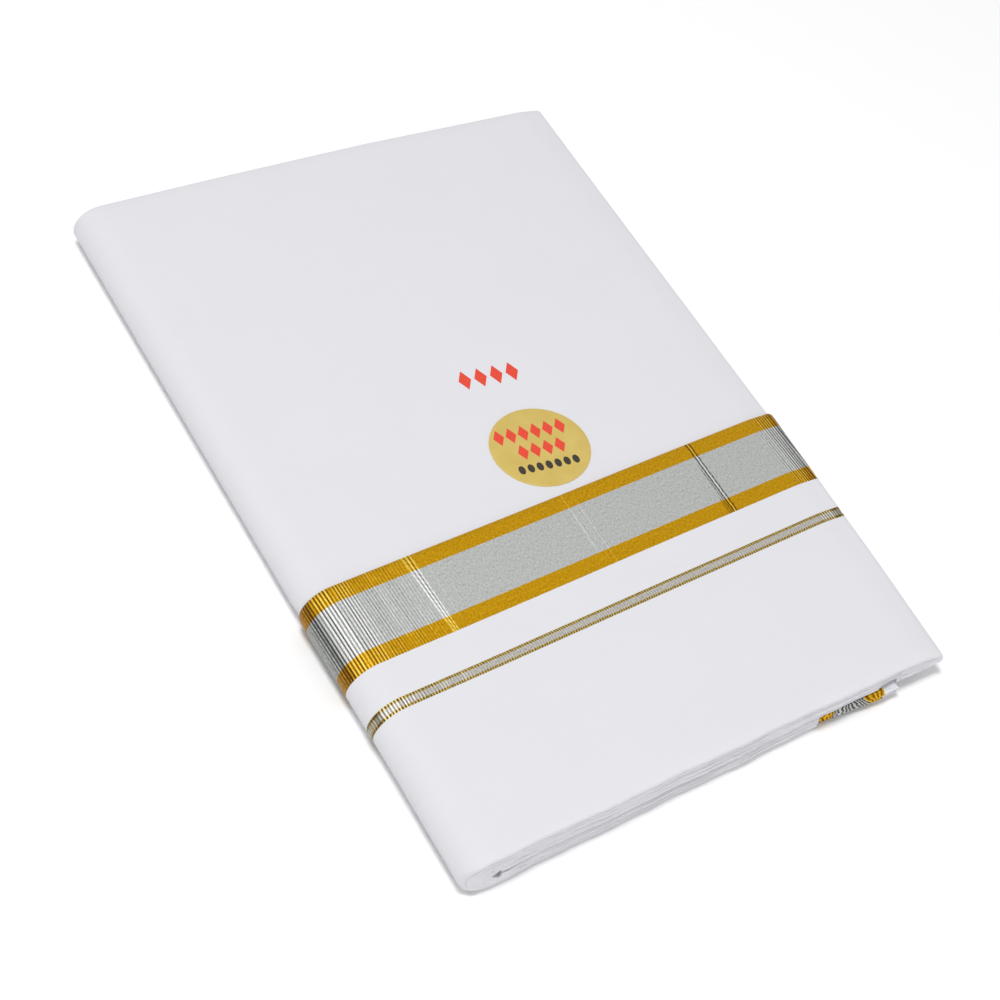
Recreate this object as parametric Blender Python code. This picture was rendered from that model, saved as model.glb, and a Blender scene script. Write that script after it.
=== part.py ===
# A dhoti cloth folded into a flat packet, lying on its underside.
#
# The cloth is one long white sheet with a woven gold and silver border along its edge and across
# its end. It is folded in three across its width, and the bordered edge is turned up over the
# front as a flap. The long strip that this makes is then folded in half three times. So the
# packet has a round spine on the left (-X), an open side on the right (+X) where only the upper
# half ends in a fold, a front (-Y) and a far side (+Y) that show the edges of the folded layers,
# and a recessed lower half on the right with the cloth's bordered end.
#
# The packet is built from x = 0 at the spine, y = 0 at the front fold and z = 0 at the underside,
# and is centred on the origin at the end. A wrap line is its cross section: in from the open side
# along the underside, round the spine, over the top, round the open fold and back in below it.
# Every wall is a strip of cloth that follows this line, and the depth of a wall is counted inwards
# from the outer face of the plain cloth.

import math
from collections import namedtuple

import bmesh
import bpy

# ---- Driving dimensions, in metres ----
WIDTH = 0.250                  # spine to open side
LENGTH = 0.3647                # front fold to far fold, along the middle
SPINE_HEIGHT = 0.0230          # top of the plain cloth at the spine
OPEN_HEIGHT = 0.0170           # top of the plain cloth at the open side
CLOTH = 0.0012                 # thickness of a wall of cloth
GAP = 0.0003                   # clearance between neighbouring pieces

FRONT_SKEW = 0.0175            # how far the front fold runs back from spine to open side
FAR_SKEW = -0.0032             # the same for the far fold
SPINE_ROUND = 0.0125           # depth of the rounded spine, along X
TUCK_X = 0.215                 # where the walls end under the upper half
STEP_START_X = 0.211           # the upper layers step up to clear those ends,
STEP_END_X = 0.213             # over this stretch

LOWER_END_X = 0.1805           # where the lower half's plain wrap meets the bordered end
SLIT = 0.0004                  # between the upper half and the lower half
HOLE_X = 0.017                 # centre of the small hollow inside the spine
HOLE_RADIUS = 0.0013
WEDGE_X = 0.022                # where that hollow has narrowed to the slit

SETTLE_START = 0.141           # the plain cloth drops to the underside behind the flap,
SETTLE_END = 0.148             # over this stretch
RETURN = 0.0100                # how far the flap runs back below itself
FAR_EDGE_INSET = 0.0018        # how far the hidden layers stay back from the far fold

UNDER_X = 0.100                # a point along the underside
TOP_XS = (0.070, 0.150, 0.200) # points along the top

LABEL_CENTRE = (0.1342, 0.1667)
LABEL_RADIUS = 0.0228
LABEL_THICKNESS = 0.0004

# ---- Short tables ----
Side = namedtuple("Side", "from_front spine_side open_side")
SIDES = (                      # sides of the plain cloth under the flap and behind it
    Side(0.000, 0.0019, 0.2465),
    Side(0.060, 0.0019, 0.2480),
    Side(SETTLE_START, 0.0003, 0.2498),
    Side(SETTLE_END, 0.0000, WIDTH),
)

Drop = namedtuple("Drop", "from_edge drop")
EDGE_DROPS = (                 # how the top falls towards the front and far folds
    Drop(0.000, 0.0006),
    Drop(0.003, 0.0001),
    Drop(0.007, 0.0000),
)

OPEN_DROPS = (                 # how the top falls towards the open side
    Drop(0.0035, 0.0012),
    Drop(0.0100, 0.0003),
    Drop(0.0155, 0.0000),
)

Bow = namedtuple("Bow", "from_spine reach")
FRONT_BOWS = (                 # how far the front fold stands out past a straight line
    Bow(0.0000, -0.0042),
    Bow(0.0015, -0.0026),
    Bow(0.0040, -0.0006),
    Bow(0.0080, 0.0006),
    Bow(0.0160, 0.0010),
    Bow(0.0700, 0.0012),
    Bow(0.1500, 0.0016),
    Bow(0.2000, 0.0022),
    Bow(0.2400, 0.0030),
    Bow(WIDTH, 0.0044),
)
FRONT_BOW_RUN = 0.060          # the front bow has died out this far behind the front fold
FAR_BOWS = (                   # the same for the far fold
    Bow(0.0000, 0.0012),
    Bow(0.0700, 0.0023),
    Bow(0.1500, 0.0025),
    Bow(0.2000, 0.0012),
    Bow(WIDTH, 0.0000),
)

Parting = namedtuple("Parting", "from_spine height")
PARTINGS = (                   # height of the slit between the halves
    Parting(HOLE_X, 0.0094),
    Parting(0.150, 0.0075),
    Parting(0.185, 0.0088),
)

Stretch = namedtuple("Stretch", "name start end material")
FLAP_STRETCHES = (             # woven stretches of the flap, counted from the front fold
    Stretch("border_thin_line", 0.0761, 0.0805, "gold"),
    Stretch("border_gap", 0.0805, 0.0989, "cotton"),
    Stretch("border_inner_gold", 0.0989, 0.1061, "gold"),
    Stretch("border_silver", 0.1061, 0.1325, "silver"),
    Stretch("border_outer_gold", 0.1325, 0.1400, "gold"),
)
END_STRETCHES = (              # stretches of the cloth's bordered end, counted from the spine
    Stretch("end_inner_gold", 0.1808, 0.1885, "gold"),
    Stretch("end_silver", 0.1885, 0.2070, "silver"),
    Stretch("end_outer_gold", 0.2070, 0.2148, "gold"),
    Stretch("cloth_end", 0.2148, 0.2230, "cotton"),
)

Finish = namedtuple("Finish", "colour roughness metallic")
FINISHES = {
    "cotton": Finish((0.78, 0.78, 0.81), 0.85, 0.0),
    "gold": Finish((0.56, 0.30, 0.02), 0.45, 0.7),
    "silver": Finish((0.46, 0.46, 0.45), 0.45, 0.7),
    "foil": Finish((0.69, 0.53, 0.17), 0.30, 0.6),
}

# ---- Worked out from the sizes above ----
FLAP_DEPTH = -(CLOTH + GAP)                # outer face of the flap
NOSE_RADIUS = (CLOTH + CLOTH + GAP) / 2    # outer radius of a fold round a gap
CORE_DEPTH = CLOTH + GAP                   # outer face of the hidden layers
FOLD_BREAKS = [row.from_edge for row in EDGE_DROPS[1:]]
FORM_BREAKS = FOLD_BREAKS + [row.from_front for row in SIDES[1:]] + [LENGTH - y for y in FOLD_BREAKS]
LAYER_XS = (WEDGE_X, 0.070, 0.150, 0.185, STEP_START_X)    # columns of the upper layers

SPINE_STEPS = 10
OPEN_STEPS = 6
NOSE_STEPS = 4
LAYER_RIDGES = 3               # ridges on each layered edge
RIDGE_STEPS = 4
EDGE_BULGE = 0.0006            # how far a layered edge rounds back at its rims
RIDGE_DEPTH = 0.0007           # how deep the grooves between its ridges are
RIDGE_START = 0.18             # share of a ridge that is tucked away at the rim
END_BULGE = 0.0026             # how far the bordered end rounds back at its free edge
LABEL_STEPS = 48
SHARP_ANGLE = 40               # in degrees
TOUCH = 1e-6                   # distances below this count as none


def lerp(start, end, share):
    return start + (end - start) * share


def read_table(rows, position, column):
    """Value of a column at a position, on straight lines between the rows."""
    if position <= rows[0][0]:
        return rows[0][column]
    for before, after in zip(rows, rows[1:]):
        if position <= after[0]:
            share = (position - before[0]) / (after[0] - before[0])
            return lerp(before[column], after[column], share)
    return rows[-1][column]


def place(x, y, z):
    """A point of the straight packet, moved to where the skewed and bowed packet has it."""
    far_share = max(0.0, (y - SETTLE_END) / (LENGTH - SETTLE_END))
    front_share = max(0.0, 1 - y / FRONT_BOW_RUN)
    skewed = lerp(FRONT_SKEW, FAR_SKEW, far_share) * (x / WIDTH - 0.5)
    bowed = read_table(FAR_BOWS, x, 1) * far_share - read_table(FRONT_BOWS, x, 1) * front_share
    return (x, y + skewed + bowed, z)


def under_height(y):
    """Height of the plain cloth's lower face: on the flap in front, on the ground behind it."""
    share = (y - SETTLE_START) / (SETTLE_END - SETTLE_START)
    return lerp(-FLAP_DEPTH, 0.0, min(1.0, max(0.0, share)))


def top_height(x, y):
    """Height of the plain cloth's upper face."""
    from_fold = max(0.0, min(y, LENGTH - y))
    from_open_side = read_table(SIDES, y, 2) - x
    drop = read_table(EDGE_DROPS, from_fold, 1) + read_table(OPEN_DROPS, from_open_side, 1)
    return lerp(SPINE_HEIGHT, OPEN_HEIGHT, x / WIDTH) - drop


def slit_height(x):
    return read_table(PARTINGS, x, 1)


def tuck_height(y):
    """Height of the plain cloth's lower face under the open fold."""
    return slit_height(TUCK_X) + SLIT + under_height(y)


def arc(centre, radii, start, end, steps):
    """Points on an ellipse's arc, both ends included. Angles are in degrees."""
    points = []
    for step in range(steps + 1):
        angle = math.radians(lerp(start, end, step / steps))
        points.append((centre[0] + radii[0] * math.cos(angle), centre[1] + radii[1] * math.sin(angle)))
    return points


def open_fold(y):
    """Line (x, z) of the plain cloth over the drooping open side and round its fold."""
    open_x = read_table(SIDES, y, 2)
    line = [(open_x - row.from_edge, top_height(open_x - row.from_edge, y))
            for row in reversed(OPEN_DROPS[1:])]
    bottom = tuck_height(y)
    radius = (top_height(open_x - OPEN_DROPS[0].from_edge, y) - bottom) / 2
    return line + arc((open_x - radius, bottom + radius), (radius, radius), 90, -90, OPEN_STEPS)


def wrap_line(y):
    """Outer line of the plain cloth at a distance from the front, as points (x, z)."""
    spine_x = read_table(SIDES, y, 1) + SPINE_ROUND
    bottom, top = under_height(y), top_height(spine_x, y)
    middle = (bottom + top) / 2
    line = [(LOWER_END_X, bottom), (UNDER_X, bottom)]
    line += arc((spine_x, middle), (SPINE_ROUND, top - middle), 270, 90, SPINE_STEPS)
    line += [(x, top_height(x, y)) for x in TOP_XS]
    line += open_fold(y)
    line.append((TUCK_X, tuck_height(y)))
    return line


def offset_line(line, depth):
    """A line moved inwards by a depth, with each corner kept sharp."""
    normals = []
    for (x0, z0), (x1, z1) in zip(line, line[1:]):
        run = math.hypot(x1 - x0, z1 - z0)
        normals.append(((z1 - z0) / run, -(x1 - x0) / run))
    moved = []
    for index, (x, z) in enumerate(line):
        before = normals[max(0, index - 1)]
        after = normals[min(len(normals) - 1, index)]
        scale = depth / (1 + before[0] * after[0] + before[1] * after[1])
        moved.append((x + (before[0] + after[0]) * scale, z + (before[1] + after[1]) * scale))
    return moved


def lattice_solid(name, lattice, finish):
    """A closed solid whose six sides are the outer points of a lattice[i][j][k]."""
    last_i, last_j, last_k = len(lattice) - 1, len(lattice[0]) - 1, len(lattice[0][0]) - 1
    mesh = bpy.data.meshes.new(name)
    shape = bmesh.new()
    made = {}

    def vertex(i, j, k):
        if (i, j, k) not in made:
            made[i, j, k] = shape.verts.new(lattice[i][j][k])
        return made[i, j, k]

    for i in range(last_i):
        for j in range(last_j):
            for k in (0, last_k):
                shape.faces.new([vertex(i, j, k), vertex(i + 1, j, k),
                                 vertex(i + 1, j + 1, k), vertex(i, j + 1, k)])
    for i in range(last_i):
        for k in range(last_k):
            for j in (0, last_j):
                shape.faces.new([vertex(i, j, k), vertex(i + 1, j, k),
                                 vertex(i + 1, j, k + 1), vertex(i, j, k + 1)])
    for j in range(last_j):
        for k in range(last_k):
            for i in (0, last_i):
                shape.faces.new([vertex(i, j, k), vertex(i, j + 1, k),
                                 vertex(i, j + 1, k + 1), vertex(i, j, k + 1)])
    bmesh.ops.recalc_face_normals(shape, faces=shape.faces)
    shape.to_mesh(mesh)
    shape.free()
    mesh.shade_smooth()
    mesh.set_sharp_from_angle(angle=math.radians(SHARP_ANGLE))
    mesh.materials.append(material(finish))
    piece = bpy.data.objects.new(name, mesh)
    bpy.context.scene.collection.objects.link(piece)
    return piece


def material(name):
    if name in bpy.data.materials:
        return bpy.data.materials[name]
    made = bpy.data.materials.new(name)
    made.use_nodes = True
    shader = made.node_tree.nodes["Principled BSDF"]
    finish = FINISHES[name]
    shader.inputs["Base Color"].default_value = (*finish.colour, 1.0)
    shader.inputs["Roughness"].default_value = finish.roughness
    shader.inputs["Metallic"].default_value = finish.metallic
    return made


def breaks_between(start, end):
    """Where the packet's form changes between two distances from the front."""
    inside = [y for y in FORM_BREAKS if min(start, end) + TOUCH < y < max(start, end) - TOUCH]
    return [start] + sorted(inside, reverse=start > end) + [end]


def wall(name, outer, inner, finish):
    """A wall that follows the wrap line. outer and inner are matching lists of (y, depth)."""
    columns = []
    for pair in zip(outer, inner):
        columns.append([(y, offset_line(wrap_line(y), depth)) for y, depth in pair])
    count = len(columns[0][0][1])
    lattice = [[[place(line[i][0], y, line[i][1]) for y, line in column] for column in columns]
               for i in range(count)]
    return lattice_solid(name, lattice, finish)


def folded_edge(straight, returned, depth, at_front):
    """Outer and inner (y, depth) of a wall that runs along `straight`, folds over and returns."""
    fold_y = NOSE_RADIUS if at_front else LENGTH - NOSE_RADIUS
    turn = -1 if at_front else 1
    middle = depth + NOSE_RADIUS
    outer = [(y, depth) for y in straight[:-1]]
    inner = [(y, depth + CLOTH) for y in straight[:-1]]
    for step in range(NOSE_STEPS + 1):
        angle = math.pi * step / NOSE_STEPS
        for side, radius in ((outer, NOSE_RADIUS), (inner, NOSE_RADIUS - CLOTH)):
            side.append((fold_y + turn * radius * math.sin(angle), middle - radius * math.cos(angle)))
    outer += [(y, middle + NOSE_RADIUS) for y in returned[1:]]
    inner += [(y, middle + NOSE_RADIUS - CLOTH) for y in returned[1:]]
    return outer, inner


def make_front_flap():
    """Plain part of the flap, which folds under at the front and runs back below itself."""
    end = FLAP_STRETCHES[0].start - GAP / 2
    outer, inner = folded_edge(breaks_between(end, NOSE_RADIUS),
                               breaks_between(NOSE_RADIUS, RETURN), FLAP_DEPTH, True)
    return wall("front_flap", outer, inner, "cotton")


def make_border():
    """Woven stretches of the flap, flush with it, up to its selvedge."""
    for stretch in FLAP_STRETCHES:
        rows = breaks_between(stretch.start + GAP / 2, stretch.end - GAP / 2)
        outer = [(y, FLAP_DEPTH) for y in rows]
        inner = [(y, FLAP_DEPTH + CLOTH) for y in rows]
        wall(stretch.name, outer, inner, stretch.material)


def make_top_cloth():
    """The plain cloth that carries on from the flap, below it and back to the far fold."""
    outer, inner = folded_edge(breaks_between(RETURN + GAP, LENGTH - NOSE_RADIUS),
                               [LENGTH - NOSE_RADIUS], 0.0, False)
    return wall("top_cloth", outer, inner, "cotton")


def rim_round(share):
    """How far an edge has rounded back, from 0 at half its height to 1 at its rims."""
    return 1 - math.sqrt(max(0.0, 1 - (2 * share - 1) ** 2))


def layered_inset(share):
    """How far back a layered edge lies, at a share of its height from rim to rim."""
    groove = 1 - abs(math.sin(math.pi * (LAYER_RIDGES * share + RIDGE_START)))
    return EDGE_BULGE * rim_round(share) + RIDGE_DEPTH * groove


def core_columns(y):
    """Outer and inner ends (x, z) of the hidden layers' columns, all round the section."""
    wrapped = offset_line(wrap_line(y), CORE_DEPTH)
    spine = wrapped[2:3 + SPINE_STEPS]
    floor = wrapped[0][1]
    half = SLIT / 2
    columns = [((x, floor), (x, slit_height(x) - half))
               for x in (LOWER_END_X, PARTINGS[1].from_spine, WEDGE_X)]
    hollow = arc((HOLE_X, slit_height(HOLE_X)), (HOLE_RADIUS, HOLE_RADIUS), 270, 90, SPINE_STEPS)
    columns += list(zip(spine, hollow))
    for x in LAYER_XS:
        columns.append(((x, top_height(x, y) - CORE_DEPTH), (x, slit_height(x) + half)))
    for x in (STEP_END_X, read_table(SIDES, y, 2) - OPEN_DROPS[1].from_edge):
        columns.append(((x, top_height(x, y) - CORE_DEPTH), (x, tuck_height(y) + CORE_DEPTH)))
    return columns


def read_line(line, count):
    """Points spaced evenly along a line (x, z), both ends included."""
    lengths = [math.dist(start, end) for start, end in zip(line, line[1:])]
    points = []
    for step in range(count + 1):
        left = sum(lengths) * step / count
        for start, end, length in zip(line, line[1:], lengths):
            if left <= length or end is line[-1]:
                share = min(1.0, left / length)
                points.append((lerp(start[0], end[0], share), lerp(start[1], end[1], share)))
                break
            left -= length
    return points


def core_tip(y, steps):
    """Points (x, z) of the hidden layers' rounded end inside the open fold, from top to bottom."""
    wrapped = offset_line(wrap_line(y), CORE_DEPTH)
    return read_line(wrapped[-OPEN_STEPS - 2:-1], steps)


def make_folded_layers():
    """All the hidden layers, as one solid bent round the spine and layered at its edges."""
    steps = LAYER_RIDGES * RIDGE_STEPS
    far_y = LENGTH - FAR_EDGE_INSET
    rows = [(y, 0) for y in breaks_between(0.0, far_y)]
    rows[0], rows[-1] = (0.0, 1), (far_y, -1)
    sections = []
    for y, inwards in rows:
        section = []
        for outer, inner in core_columns(y):
            shares = [k / steps for k in range(steps + 1)]
            section.append([place(lerp(outer[0], inner[0], share),
                                  y + inwards * layered_inset(share),
                                  lerp(outer[1], inner[1], share)) for share in shares])
        rim_y = y + inwards * layered_inset(0.0)
        section.append([place(x, rim_y, z) for x, z in core_tip(y, steps)])
        sections.append(section)
    lattice = [[sections[j][i] for j in range(len(sections))] for i in range(len(sections[0]))]
    return lattice_solid("folded_layers", lattice, "cotton")


def make_cloth_end():
    """The bordered end of the cloth: layered stretches of the lower half, flush underneath."""
    steps = LAYER_RIDGES * RIDGE_STEPS
    for stretch in END_STRETCHES:
        is_last = stretch is END_STRETCHES[-1]
        lattice = []
        for x in (stretch.start + GAP / 2, stretch.end - GAP / 2):
            top = slit_height(x) - SLIT / 2
            at_end = is_last and x > stretch.start + GAP
            column = []
            for y, inwards in ((0.0, 1), (SETTLE_END, 0), (LENGTH, -1)):
                heights = []
                for k in range(steps + 1):
                    inset = layered_inset(k / steps)
                    drawn_in = END_BULGE * rim_round(k / steps) if at_end else 0.0
                    heights.append(place(x - drawn_in, y + inwards * inset, top * k / steps))
                column.append(heights)
            lattice.append(column)
        lattice_solid(stretch.name, lattice, stretch.material)


def make_label():
    """Round foil label, stuck on the top cloth just behind the flap."""
    shape = bmesh.new()
    rings = []
    for radius, lift in ((LABEL_RADIUS, GAP), (LABEL_RADIUS, GAP + LABEL_THICKNESS)):
        ring = []
        for step in range(LABEL_STEPS):
            angle = 2 * math.pi * step / LABEL_STEPS
            x = LABEL_CENTRE[0] + radius * math.cos(angle)
            y = LABEL_CENTRE[1] + radius * math.sin(angle)
            ring.append(shape.verts.new((x, y, lerp(SPINE_HEIGHT, OPEN_HEIGHT, x / WIDTH) + lift)))
        rings.append(ring)
    for step in range(LABEL_STEPS):
        following = (step + 1) % LABEL_STEPS
        shape.faces.new([rings[0][step], rings[0][following], rings[1][following], rings[1][step]])
    for ring in rings:
        shape.faces.new(ring)
    bmesh.ops.recalc_face_normals(shape, faces=shape.faces)
    mesh = bpy.data.meshes.new("round_label")
    shape.to_mesh(mesh)
    shape.free()
    mesh.materials.append(material("foil"))
    piece = bpy.data.objects.new("round_label", mesh)
    bpy.context.scene.collection.objects.link(piece)
    return piece


def centre_on_origin():
    """Move every piece so that the packet is centred over the origin and lies on z = 0."""
    points = [vertex.co for piece in bpy.data.objects for vertex in piece.data.vertices]
    shift_x = -(min(p.x for p in points) + max(p.x for p in points)) / 2
    shift_y = -(min(p.y for p in points) + max(p.y for p in points)) / 2
    for piece in bpy.data.objects:
        for vertex in piece.data.vertices:
            vertex.co.x += shift_x
            vertex.co.y += shift_y
    return shift_x, shift_y


for old in list(bpy.data.objects):
    bpy.data.objects.remove(old, do_unlink=True)

make_top_cloth()
make_front_flap()
make_border()
make_folded_layers()
make_cloth_end()
make_label()
print("packet moved by", centre_on_origin())
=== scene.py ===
# %% [markdown]
# # A dhoti cloth, folded for the shelf
# A dhoti is one long white sheet that is wrapped round the waist. It leaves the loom in one piece,
# with a border of gold and silver thread, called zari, along its edge and across its end.
# For the shelf it is folded across its width, its bordered edge is turned up over the front as a
# flap, and the long strip is then folded in half again and again. Only the outside shows. Three
# depths and three halvings are the likely count, and they aren't certain.
# So nothing here is cut and sewn: each piece below is a stretch of the same folded sheet.

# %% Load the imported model
import math
from collections import namedtuple

import bpy
import numpy as np
from mathutils import Matrix, Vector


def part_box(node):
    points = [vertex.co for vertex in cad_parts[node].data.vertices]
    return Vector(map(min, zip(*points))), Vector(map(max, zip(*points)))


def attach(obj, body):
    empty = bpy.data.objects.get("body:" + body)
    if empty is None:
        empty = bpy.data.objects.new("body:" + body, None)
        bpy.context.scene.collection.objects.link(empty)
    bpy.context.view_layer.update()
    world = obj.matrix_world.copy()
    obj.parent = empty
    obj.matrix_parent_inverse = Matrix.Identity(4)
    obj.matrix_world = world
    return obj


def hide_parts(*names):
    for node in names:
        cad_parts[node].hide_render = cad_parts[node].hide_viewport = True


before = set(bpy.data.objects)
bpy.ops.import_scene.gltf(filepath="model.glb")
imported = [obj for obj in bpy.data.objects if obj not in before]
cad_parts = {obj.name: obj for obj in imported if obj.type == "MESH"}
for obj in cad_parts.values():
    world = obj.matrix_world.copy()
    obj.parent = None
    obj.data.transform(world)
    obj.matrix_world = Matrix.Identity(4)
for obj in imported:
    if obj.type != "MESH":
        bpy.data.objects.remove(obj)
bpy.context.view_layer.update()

# %% [markdown]
# ## The packet's form
# All the cloth follows one line, the wrap line: in along the underside, round the spine on the
# left, over the top, round the open side's fold and back in below it. The solids follow a like
# line in coarser steps. Some sizes here were adjusted after it, such as the open side's, which is
# about a millimetre further in, so the edges of shell and solid can lie two millimetres apart. It
# could be sculpted, but a line with named sizes keeps every layer a set distance from the next.

# %% Sizes of the folded packet, in metres
WIDTH = 0.250                  # spine to open side
LENGTH = 0.3647                # front fold to far fold
SPINE_HEIGHT = 0.0230          # top of the plain cloth at the spine
OPEN_HEIGHT = 0.0170           # and at the open side
SPINE_ROUND = 0.0125           # depth of the rounded spine
FRONT_SKEW, FAR_SKEW = 0.0175, -0.0032         # how far each fold runs askew, from spine to open side
SETTLE_START, SETTLE_END = 0.141, 0.148        # behind the flap, the cloth comes down to the table
LOWER_END_X = 0.1805           # where the lower half's plain stretch ends
TUCK_X = 0.215                 # where the shell stops under the upper half; real cloth runs on
CLOTH, GAP = 0.0012, 0.0003    # thickness of the cloth, and between it and the next layer
FLAP_DEPTH = -(CLOTH + GAP)    # the flap's outer face, counted inwards from the plain cloth's

SPINE_SIDE, OPEN_SIDE = 1, 2
SIDES = (                      # place from the front, and where the two sides are there
    (0.000, 0.0019, 0.2456),
    (0.060, 0.0019, 0.2469),
    (SETTLE_START, 0.0003, 0.2486),
    (SETTLE_END, 0.0000, 0.2488),
)
EDGE_DROP, EDGE_DROP_RUN, EDGE_BEND = 0.0006, 0.007, 2.4       # the top falls towards its folds
OPEN_DROP, OPEN_DROP_RUN, OPEN_BEND = 0.0019, 0.0155, 1.78     # and towards the open side
SLIT = 0.0004                  # between the upper half and the lower half
PARTING = ((0.017, 0.0094), (0.150, 0.0075), (0.185, 0.0088))  # where the slit runs, by (x, z)

# %% The front and far folds bow out a little
FRONT_BOWS = (                 # place from the spine, and how far the front fold stands out there
    (0.0000, -0.0042), (0.0015, -0.0026), (0.0040, -0.0006), (0.0080, 0.0006), (0.0160, 0.0010),
    (0.0700, 0.0012), (0.1500, 0.0016), (0.2000, 0.0022), (0.2400, 0.0030), (WIDTH, 0.0044),
)
FRONT_BOW_RUN = 0.060          # the front bow has died out this far behind the front fold
FAR_BOWS = (                   # and the far fold
    (0.0000, 0.0012), (0.0700, 0.0023), (0.1500, 0.0025), (0.2000, 0.0012), (WIDTH, 0.0000),
)
BOW_SOFTNESS = 0.0012          # a bow is read over this far to either side, so it bends softly
Wobble = namedtuple("Wobble", "wavelength reach start")
FRONT_WOBBLES = (              # a hand-folded edge is never quite straight
    Wobble(0.0610, 0.00022, 0.4),
    Wobble(0.0235, 0.00012, 2.0),
    Wobble(0.0087, 0.00007, 4.0),
    Wobble(0.0043, 0.00005, 1.1),
)
WOBBLE_RUN = 0.010             # the wobble has died out this far behind the front fold
LIES_ACROSS = (                # the flap's stripes lie a little askew, from spine to open side
    (0.000, -0.0013), (0.050, -0.0011), (0.145, 0.0000), (0.235, 0.0007),
)
LIES_ALONG = (                 # by these shares of it, from the front fold to the selvedge
    (0.000, 0.0), (0.050, 0.8), (0.078, 1.0), (0.100, 0.6), (0.136, 0.0),
)


def read(table, where, column=1):
    """A column of a table, read between its rows by the first column."""
    return np.interp(where, [row[0] for row in table], [row[column] for row in table])


def columns(*values):
    """Numbers or lines of numbers, side by side as the columns of a table of points."""
    return np.stack(np.broadcast_arrays(*values), -1)


def read_bow(bows, x):
    return sum(read(bows, x + step * BOW_SOFTNESS) for step in (-1, 0, 1)) / 3


def wobble(wobbles, x):
    return sum(w.reach * np.sin(2 * math.pi * x / w.wavelength + w.start) for w in wobbles)


bow_at_open_side = float(read_bow(FRONT_BOWS, WIDTH))
print("front fold stands out", round(1000 * bow_at_open_side, 1), "mm at the open side")

# %% Where the packet lies in the shared frame
LABEL_X, LABEL_Y, LABEL_RADIUS = 0.1342, 0.1667, 0.0228
label_low, label_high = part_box("round_label")
SHIFT_X = (label_low.x + label_high.x) / 2 - LABEL_X
SHIFT_Y = (label_low.y + label_high.y) / 2 - LABEL_Y
print("spine corner lies at", round(SHIFT_X, 5), round(SHIFT_Y, 5))


def far_share(y):
    return np.clip((y - SETTLE_END) / (LENGTH - SETTLE_END), 0, None)


def skew_at(x, y):
    return (FRONT_SKEW + (FAR_SKEW - FRONT_SKEW) * far_share(y)) * (x / WIDTH - 0.5)


def place(x, y, z):
    """Points of the straight packet, moved to where the skewed packet has them."""
    near_share = np.clip(1 - y / FRONT_BOW_RUN, 0, None)
    bow = read_bow(FAR_BOWS, x) * far_share(y) - read_bow(FRONT_BOWS, x) * near_share
    bow = bow - wobble(FRONT_WOBBLES, x) * np.clip(1 - y / WOBBLE_RUN, 0, None)
    bow = bow + read(LIES_ACROSS, x) * read(LIES_ALONG, y)
    return columns(x + SHIFT_X, y + skew_at(x, y) + bow + SHIFT_Y, z)


# %% Heights of the plain cloth
TUCK_DROPS = (                 # how far the open side's fold droops below the slit, at the front
    (0.2240, 0.0), (0.2252, 0.0042), (0.2350, 0.0040), (WIDTH, 0.0028),
)
TUCK_DROP_RUN = 0.060          # and it has risen to the slit this far behind the front


def smooth_step(value, low, high):
    share = np.clip((value - low) / (high - low), 0, 1)
    return share * share * (3 - 2 * share)


def open_side(y):
    return read(SIDES, y, OPEN_SIDE)


def top_height(x, y):
    """The upper face, which sinks softly towards its folds and towards the open side."""
    from_fold = np.clip(np.minimum(y, LENGTH - y), 0, None)
    edge = EDGE_DROP * np.clip(1 - from_fold / EDGE_DROP_RUN, 0, 1) ** EDGE_BEND
    side = OPEN_DROP * np.clip(1 - (open_side(y) - x) / OPEN_DROP_RUN, 0, 1) ** OPEN_BEND
    return SPINE_HEIGHT + (OPEN_HEIGHT - SPINE_HEIGHT) * x / WIDTH - edge - side


def under_height(y):
    """The underside of the plain cloth, which lies on the flap's cloth until that ends."""
    return -FLAP_DEPTH * (1 - np.clip((y - SETTLE_START) / (SETTLE_END - SETTLE_START), 0, 1))


def slit_height(x):
    """The middle of the slit between the lower half and the upper half."""
    return read(PARTING, x)


def tuck_height(x, y):
    """The underside of the open side's fold, which hangs lower near the front."""
    near_front = 1 - smooth_step(y, 0.0, TUCK_DROP_RUN)
    return slit_height(TUCK_X) + SLIT + under_height(y) - read(TUCK_DROPS, x) * near_front


print("top is", round(1000 * float(top_height(0.0145, 0.05)), 2), "mm high at the spine and",
      round(1000 * float(top_height(0.23, 0.05)), 2), "mm near the open side")

# %% [markdown]
# ## The wrap line as fine points
# A woven border needs points every third of a millimetre where it is fluted or creased, and plain
# cloth needs them only every two millimetres. So the spacing is a choice of the piece.

# %% The wrap line
Spacing = namedtuple("Spacing", "under spine top fold")
PLAIN_SPACING = Spacing(0.0040, 0.0014, 0.0022, 0.0008)
RUNS = Spacing(0.166, 0.038, 0.228, 0.011)     # about how long each stretch of the line is, for counts
FOLD_READ = 0.0035             # the open fold is as thick as the packet is this far inside it
FOLD_LEAD, FOLD_ANGLE = 0.0022, 74             # the top stops short of the round, which begins here
BROW_RUN = 0.0035              # about how long the stretch between them is
BACK_STEPS = 24                # points on the cloth that runs back below the open fold


def steps_over(run, spacing):
    return max(2, int(math.ceil(run / spacing)))


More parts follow.
